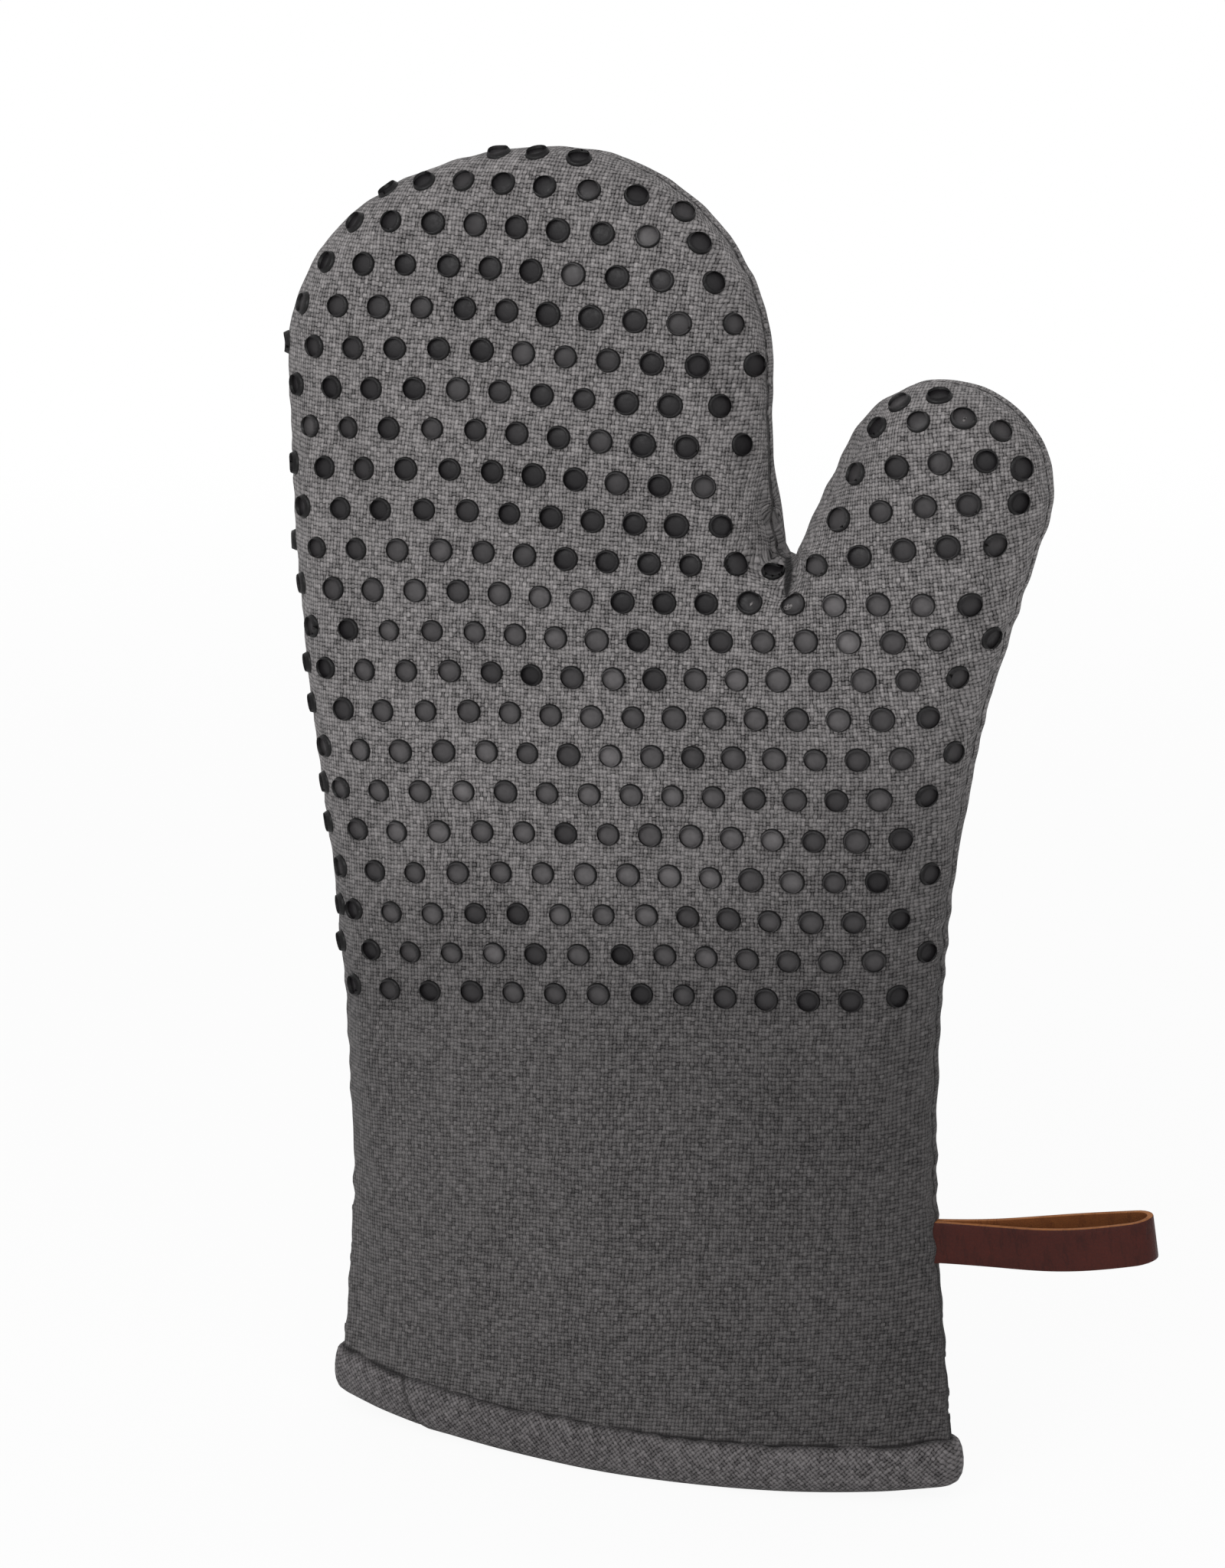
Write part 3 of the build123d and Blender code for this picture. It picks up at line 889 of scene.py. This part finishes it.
def seamPlaces(node):
    # where the CAD stitches of a seam are, moved with the wall: the place, the way along and the way out
    places = []
    for span in islandsOf([node]):
        middle = span.mean(0)
        way = np.linalg.svd(span - middle)[2][0]
        middle = middle + settled[flatTree.find(Vector(middle))[1]]
        foot, facing = skinTree.find_nearest(Vector(middle))[:2]
        out = Vector((facing.x, 0, facing.z)).normalized()
        places.append((foot, Vector(way), out))
    return places


ditchPlaces = []
for k in np.linspace(0, binding["steps"], stitch["aroundHem"], endpoint=False):
    k = int(k + chance.uniform(-1, 1)) % binding["steps"]
    out = Vector((*ringOut[k], 0))
    lifted = high + ringBow[k] + binding["edgeWander"] * wander[k] - stitch["proud"]
    at = Vector((*ring[k], lifted)) + out * stitch["proud"]
    ditchPlaces.append((at, Vector((*ringWay[k], 0)), out))
ditchStitches = layStitches("ditchStitches", ditchPlaces)
seamStitches = layStitches("seamStitches", seamPlaces("side_seam_stitches"))
thumbStitches = layStitches("thumbStitches", seamPlaces("thumb_seam_stitches"))
bpy.data.objects.remove(stitchModel)
print("stitches laid:", len(ditchStitches.data.polygons) + len(seamStitches.data.polygons), "faces")


class Signal:
    # a socket that can be used in sums
    def __init__(self, socket):
        self.socket = socket
        self.tree = socket.id_data

    def node(self, kind, settings=None, sockets=None, out=0):
        # any other node: its settings first, then its sockets' values or links
        made = self.tree.nodes.new(kind)
        for key, value in (settings or {}).items():
            if key == "stops":
                while len(made.color_ramp.elements) < len(value):
                    made.color_ramp.elements.new(0.5)
                for element, (at, colour) in zip(made.color_ramp.elements, value):
                    element.position, element.color = at, colour
            else:
                setattr(made, key, value)
        for key, value in (sockets or {}).items():
            if isinstance(value, Signal):
                self.tree.links.new(value.socket, made.inputs[key])
            else:
                made.inputs[key].default_value = value
        return Signal(made.outputs[out])

    def sum(self, operation, *others):
        return self.node("ShaderNodeMath", {"operation": operation}, dict(enumerate((self, *others))))

    def __add__(self, other):
        return self.sum("ADD", other)

    def __sub__(self, other):
        return self.sum("SUBTRACT", other)

    def __mul__(self, other):
        return self.sum("MULTIPLY", other)

    def __truediv__(self, other):
        return self.sum("DIVIDE", other)

    def __rsub__(self, other):
        return (self * -1) + other

    __radd__ = __add__
    __rmul__ = __mul__

    def xyz(self):
        parts = self.node("ShaderNodeSeparateXYZ", None, {0: self}).socket.node
        return [Signal(out) for out in parts.outputs]

    def between(self, low, high, first=0.0, last=1.0):
        # eased from first to last as this goes from low to high
        return self.node(
            "ShaderNodeMapRange", {"interpolation_type": "SMOOTHSTEP"},
            {0: self, 1: low, 2: high, 3: first, 4: last},
        )

    def speckle(self, size, detail=2.0, rough=0.5, out=0):
        # soft noise over this vector, with spots about that many metres across
        return self.node(
            "ShaderNodeTexNoise", None,
            {"Vector": self, "Scale": 1 / size, "Detail": detail, "Roughness": rough}, out,
        )

    def tint(self, first, last):
        # a colour from first to last as this goes from 0 to 1
        return self.node(
            "ShaderNodeMix", {"data_type": "RGBA", "clamp_factor": True}, {0: self, 6: first, 7: last}, 2
        )


def tone(red, green, blue):
    # a colour as picked on screen, made linear
    linear = [c / 255 / 12.92 if c <= 10 else ((c / 255 + 0.055) / 1.055) ** 2.4 for c in (red, green, blue)]
    return (*linear, 1.0)


def startFinish(name, roughness, specular=0.5):
    finish = bpy.data.materials.new(name)
    finish.use_nodes = True
    shader = finish.node_tree.nodes["Principled BSDF"]
    shader.inputs["Roughness"].default_value = roughness
    shader.inputs["Specular IOR Level"].default_value = specular
    where = Signal(finish.node_tree.nodes.new("ShaderNodeTexCoord").outputs["Object"])
    return finish, shader, where


def uvOf(where, name):
    return where.node("ShaderNodeUVMap", {"uv_map": name})


def numberOf(where, name):
    return where.node("ShaderNodeAttribute", {"attribute_name": name}, None, 2)


def feed(shader, **signals):
    for name, signal in signals.items():
        signal.tree.links.new(signal.socket, shader.inputs[name.replace("_", " ")])


def bumped(signal, distance, strength=1.0, under=None):
    sockets = {"Height": signal, "Distance": distance, "Strength": strength}
    if under is not None:
        sockets["Normal"] = under
    return signal.node("ShaderNodeBump", None, sockets)


# threadRise to level are shares of the step from dark to light, and the painted shade, cuffShade over the cuff and
# sideShade up the thumb's side, scales all of it
weave = {
    "threadRise": 0.48,
    "alongThread": 0.80,
    "knot": 0.36,
    "mottle": 0.26,
    "fibre": 0.50,
    "level": 0.15,
    # painted shade over the cuff and up the thumb's side of the palm, for light that falls off there
    "cuffShade": 0.47,
    "cuffLow": 0.105,
    "cuffHigh": 0.185,
    "sideShade": 0.36,
    "sideLow": 0.165,
    "sideHigh": 0.220,
    "mottleSize": 0.028,
    "fibreSize": 0.0005,
    "driftSize": 0.010,
    "wobbleSize": 0.0035,
    "warpPitch": 0.00094,
    "weftPitch": 0.00104,
    "wander": 0.20,
    "relief": 0.00026,
    "roundness": 0.58,
    "crossing": 0.42,
    "roughness": 0.92,
    "specular": 0.15,
    "sheen": 0.08,
    "dark": (24, 22, 23),
    "light": (160, 156, 156),
    "biasTurn": 42,
    "biasDark": (22, 20, 21),
    "biasLight": (126, 122, 123),
    "liningPitch": 0.0007,
    "liningRelief": 0.0001,
    "liningDark": (46, 44, 44),
    "liningLight": (104, 101, 101),
}


def wovenCloth(run, warpPitch, weftPitch):
    # plain weave: the threads' height, a tone that runs a little way along each, and one for each crossing
    u, v, _ = run.xyz()
    drift = run.speckle(weave["driftSize"], 1.0)
    wobble = run.speckle(weave["wobbleSize"], 1.0)
    u = u / warpPitch + (drift - 0.5) * weave["wander"] * 5 + (wobble - 0.5) * weave["wander"] * 1.5
    v = v / weftPitch + (wobble - 0.5) * weave["wander"] * 2.5 - (drift - 0.5) * weave["wander"] * 4
    a = u.sum("FRACT") - 0.5
    b = v.sum("FRACT") - 0.5
    over = (u * math.pi).sum("SINE") * (v * math.pi).sum("SINE")
    warpNo = u.sum("FLOOR")
    weftNo = v.sum("FLOOR")
    crossing = warpNo.node("ShaderNodeCombineXYZ", None, {0: warpNo, 1: weftNo})
    knot = crossing.node("ShaderNodeTexWhiteNoise", {"noise_dimensions": "2D"}, {"Vector": crossing})
    warpTone = warpNo.node("ShaderNodeCombineXYZ", None, {0: warpNo * 3.7, 1: v * 0.42}).speckle(1.0, 1.0)
    weftTone = weftNo.node("ShaderNodeCombineXYZ", None, {0: u * 0.42, 1: weftNo * 4.3}).speckle(1.0, 1.0)
    warp = (1 - a * a * 4) * weave["roundness"] + over * weave["crossing"]
    weft = (1 - b * b * 4) * weave["roundness"] - over * weave["crossing"]
    onWarp = (warp - weft).between(-0.12, 0.12)
    return warp.sum("MAXIMUM", weft), warpTone * onWarp + weftTone * (1 - onWarp), knot


def clothFinish(name, warpPitch, weftPitch, dark, light, relief, bias=False):
    finish, shader, where = startFinish(name, weave["roughness"], weave["specular"])
    run = uvOf(where, "cloth")
    if bias:
        turned = (0, 0, math.radians(weave["biasTurn"]))
        run = run.node("ShaderNodeMapping", None, {"Vector": run, "Rotation": turned})
    height, along, knot = wovenCloth(run, warpPitch, weftPitch)
    mottle = where.speckle(weave["mottleSize"], 3.0, 0.6)
    fibre = where.speckle(weave["fibreSize"], 2.0, 0.6)
    level = height.between(0.20, 0.80) * weave["threadRise"] + (along - 0.5) * weave["alongThread"]
    level = level + (knot - 0.5) * weave["knot"] + (mottle - 0.5) * weave["mottle"]
    level = level + (fibre - 0.5) * weave["fibre"] + weave["level"]
    if bias:
        # painted shade in the groove of the slanted join, and along the binding's top edge where it meets the cloth
        join = numberOf(where, "join").between(0.0002, 0.0013, 0.25, 1.0)
        ditchShade = numberOf(where, "down").between(-0.0002, 0.0010, 0.40, 1.0)
        level = level * join * ditchShade
    else:
        # painted shade in the seam's groove: the cloth darkens as it nears the seam
        seam = numberOf(where, "seamGap").between(0.0002, 0.0010, 0.62, 1.0)
        x, y, z = where.xyz()
        down = (foldAt.z - crotch["creaseLow"]) - z
        # a slit of shade along the crotch's crease, and one above the binding
        offLine = x - foldAt.x - y.sum("ABSOLUTE") * crotch["creaseTurn"] + down * crotch["creaseLean"]
        offLine = offLine.sum("ABSOLUTE") + down.between(0.0050, 0.0100, 0.0, 0.0016)
        offLine = offLine + down.between(-0.0060, 0.0020, 0.0012, 0.0)
        slit = (offLine + (where.speckle(0.004) - 0.5) * 0.0006).between(0.0005, 0.0013, 0.02, 1.0)
        gap = where.speckle(0.011, 2.0).between(0.42, 0.60, 0.0002, 0.0011)
        ditchShade = (numberOf(where, "hemGap") / gap).between(0.3, 1.5, 0.15, 1.0)
        # painted shade: darker over the cuff, and up the thumb's side of the palm, where the light falls off
        cuff = z.between(weave["cuffLow"], weave["cuffHigh"], weave["cuffShade"], 1.0)
        side = x.between(-0.03, 0.085) * z.between(weave["sideLow"], weave["sideHigh"], weave["sideShade"], 0.0)
        cuff = cuff * (1 - side)
        level = level * seam * slit * ditchShade * cuff
    feed(shader, Base_Color=level.tint(dark, light), Normal=bumped(height + fibre * 0.35, relief))
    shader.inputs["Sheen Weight"].default_value = weave["sheen"]
    shader.inputs["Sheen Roughness"].default_value = 0.6
    return finish


canvasFinish = clothFinish(
    "canvas", weave["warpPitch"], weave["weftPitch"], tone(*weave["dark"]), tone(*weave["light"]), weave["relief"]
)
bindingFinish = clothFinish(
    "biasCanvas", weave["warpPitch"], weave["warpPitch"],
    tone(*weave["biasDark"]), tone(*weave["biasLight"]), weave["relief"], True,
)
liningFinish = clothFinish(
    "lining", weave["liningPitch"], weave["liningPitch"],
    tone(*weave["liningDark"]), tone(*weave["liningLight"]), weave["liningRelief"],
)

# black at a dot's rim, and from plain to grey over its face with the painted sheen, mottled by dust
silicone = {
    "black": (14, 13, 14),
    "plain": (30, 28, 30),
    "grey": (112, 109, 110),
    "roughness": 0.46,
    "roughFrom": 0.38,
    "roughTo": 0.58,
    "specular": 0.3,
    "relief": 0.00005,
    "dustSize": 0.0010,
    "smearSize": 0.0030,
    "rimFrom": 0.40,
    "rimTo": 0.46,
}
siliconeFinish, shader, where = startFinish("silicone", silicone["roughness"], silicone["specular"])
dotFace = uvOf(where, "face")
spot = dotFace.node("ShaderNodeVectorMath", {"operation": "DISTANCE"}, {0: dotFace, 1: (0.5, 0.5, 0)}, 1)
dust = where.speckle(silicone["dustSize"], 3.0, 0.65)
smear = where.speckle(silicone["smearSize"], 2.0, 0.6)
sheenGrey = numberOf(where, "tone") * (smear * 0.9 + dust * 0.5 + 0.25)
face = sheenGrey.tint(tone(*silicone["plain"]), tone(*silicone["grey"]))
inRim = spot.between(silicone["rimFrom"], silicone["rimTo"])
skinTone = inRim.node("ShaderNodeMix", {"data_type": "RGBA"}, {0: inRim, 6: face, 7: tone(*silicone["black"])}, 2)
feed(
    shader,
    Base_Color=skinTone,
    Roughness=dust.between(0.3, 0.7, silicone["roughFrom"], silicone["roughTo"]),
    Normal=bumped(dust + smear, silicone["relief"]),
)

thread = {"dark": (34, 32, 33), "light": (78, 75, 76), "roughness": 0.85, "turns": 900.0, "relief": 0.00008}
threadFinish, shader, where = startFinish("thread", thread["roughness"], 0.2)
twist = where.node(
    "ShaderNodeTexWave", {"wave_type": "BANDS", "bands_direction": "DIAGONAL"},
    {"Vector": where, "Scale": thread["turns"], "Distortion": 1.5},
)
feed(
    shader,
    Base_Color=(twist * 0.6 + where.speckle(0.004) * 0.4).tint(tone(*thread["dark"]), tone(*thread["light"])),
    Normal=bumped(twist, thread["relief"]),
)

# grain outside, flesh inside and the cut edge
leather = {
    "grain": {
        "dark": (46, 14, 9), "light": (74, 27, 19), "roughness": 0.42, "specular": 0.22,
        "relief": 0.00006, "poreSize": 0.0009,
    },
    "flesh": {
        "dark": (88, 48, 24), "light": (122, 72, 36), "roughness": 0.85, "specular": 0.2,
        "relief": 0.00012, "poreSize": 0.0005,
    },
    "edge": {
        "dark": (128, 76, 40), "light": (176, 116, 68), "roughness": 0.7, "specular": 0.3,
        "relief": 0.00010, "poreSize": 0.0004,
    },
}


def leatherFinish(name, side):
    finish, shader, where = startFinish(name, side["roughness"], side["specular"])
    poreScale = {"Vector": where, "Scale": 1 / side["poreSize"]}
    cells = where.node("ShaderNodeTexVoronoi", {"feature": "DISTANCE_TO_EDGE"}, poreScale)
    soft = where.speckle(0.006, 4.0, 0.65)
    fine = where.speckle(0.0007, 3.0, 0.6)
    # creases run across the strap
    strapUv = uvOf(where, "strap")
    drawnOut = strapUv.node("ShaderNodeMapping", None, {"Vector": strapUv, "Scale": (1.0, 0.25, 1.0)})
    creases = drawnOut.node(
        "ShaderNodeTexNoise", None, {"Vector": drawnOut, "Scale": 420.0, "Detail": 3.0, "Roughness": 0.6}
    )
    rubbed = creases.between(0.52, 0.60) * (1 - creases.between(0.60, 0.68))
    pores = cells.between(0.0, 0.16)
    level = soft * 0.75 + pores * 0.2 + fine * 0.25 - rubbed * 0.25 - 0.1
    feed(
        shader,
        Base_Color=level.tint(tone(*side["dark"]), tone(*side["light"])),
        Roughness=soft * 0.25 + (side["roughness"] - 0.1),
        Normal=bumped(pores * 0.5 + fine * 0.3 - rubbed * 0.6, side["relief"]),
    )
    return finish


grainFinish = leatherFinish("leatherGrain", leather["grain"])
fleshFinish = leatherFinish("leatherFlesh", leather["flesh"])
rimFinish = leatherFinish("leatherEdge", leather["edge"])

for skin in (handSkin, thumbSkin):
    skin.data.materials.append(canvasFinish)
    skin.data.materials.append(liningFinish)
    inner = readNumber(skin, "inner")
    for face in skin.data.polygons:
        face.material_index = int(inner[face.vertices[0]] > 0.5)
for dotsObj in (handDots, thumbDots):
    dotsObj.data.materials.append(siliconeFinish)
cuffBinding.data.materials.append(bindingFinish)
for slot, finish in enumerate((grainFinish, fleshFinish, rimFinish)):
    hangLoop.data.materials[slot] = finish
for threads in (ditchStitches, seamStitches, thumbStitches):
    threads.data.materials.append(threadFinish)
print("finishes made")


# who moves with what
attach(handSkin, "hand")
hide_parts(*[n for n in wallNodes if not n.startswith("thumb")])
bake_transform(thumbSkin)
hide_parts(*[n for n in wallNodes if n.startswith("thumb")])
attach(handDots, "hand")
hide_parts(*dotNodes)
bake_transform(thumbDots)
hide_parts(*thumbDotNodes)
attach(cuffBinding, "hand")
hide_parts("cuff_binding")
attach(ditchStitches, "hand")
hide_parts("binding_stitches")
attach(seamStitches, "hand")
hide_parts("side_seam_stitches")
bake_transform(thumbStitches)
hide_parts("thumb_seam_stitches")
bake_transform(hangLoop)
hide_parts("hanging_loop", "loop_root")


# pale floor and soft light
studio = {
    "floorSize": 90.0,
    "floorTone": 0.82,
    "floorGlow": 0.93,
    "glowFrom": 0.5,
    "glowTo": 2.2,
    "world": 0.70,
    "lampAim": (-0.02, 0, 0.22),
    "keyAt": (-0.14, -0.66, 0.62),
    "keySize": 0.40,
    "keyPower": 2.1,
    "fillAt": (0.70, -0.70, 0.80),
    "fillSize": 0.7,
    "fillPower": 1.5,
}
unpick()
bpy.ops.mesh.primitive_plane_add(size=studio["floorSize"], location=(0, 0, 0))
floor = bpy.context.active_object
floor.name = "paleFloor"
floorFinish = bpy.data.materials.new("paleFloor")
floorFinish.use_nodes = True
tree = floorFinish.node_tree
tree.nodes.clear()
seen = Signal(tree.nodes.new("ShaderNodeLightPath").outputs["Is Camera Ray"])
paper = seen.node("ShaderNodeBsdfDiffuse", None, {"Color": (studio["floorTone"],) * 3 + (1,)})
glow = seen.node("ShaderNodeEmission", None, {"Color": (1, 1, 1, 1), "Strength": 1.0})
ground = Signal(tree.nodes.new("ShaderNodeTexCoord").outputs["Object"])
fromMitt = ground.node("ShaderNodeVectorMath", {"operation": "LENGTH"}, {0: ground}, 1)
far = fromMitt.between(studio["glowFrom"], studio["glowTo"], studio["floorGlow"], 1.0)
surface = seen.node("ShaderNodeMixShader", None, {0: seen * far, 1: paper, 2: glow})
tree.links.new(surface.socket, tree.nodes.new("ShaderNodeOutputMaterial").inputs["Surface"])
floor.data.materials.append(floorFinish)

world = bpy.data.worlds.new("softRoom")
bpy.context.scene.world = world
world.use_nodes = True
tree = world.node_tree
tree.nodes.clear()
seen = Signal(tree.nodes.new("ShaderNodeLightPath").outputs["Is Camera Ray"])
room = seen.node("ShaderNodeBackground", None, {"Color": (1, 1, 1, 1), "Strength": studio["world"]})
sky = seen.node("ShaderNodeBackground", None, {"Color": (1, 1, 1, 1), "Strength": 1.0})
mixed = seen.node("ShaderNodeMixShader", None, {0: seen, 1: room, 2: sky})
tree.links.new(mixed.socket, tree.nodes.new("ShaderNodeOutputWorld").inputs["Surface"])


def softLamp(name, at, size, power):
    bpy.ops.object.light_add(type="AREA", location=at)
    lamp = bpy.context.active_object
    lamp.name = name
    lamp.data.size = size
    lamp.data.energy = power
    lamp.rotation_euler = (Vector(studio["lampAim"]) - Vector(at)).to_track_quat("-Z", "Y").to_euler()


softLamp("keyLamp", studio["keyAt"], studio["keySize"], studio["keyPower"])
softLamp("fillLamp", studio["fillAt"], studio["fillSize"], studio["fillPower"])
bpy.context.scene.view_settings.view_transform = "Standard"
print("stage set")
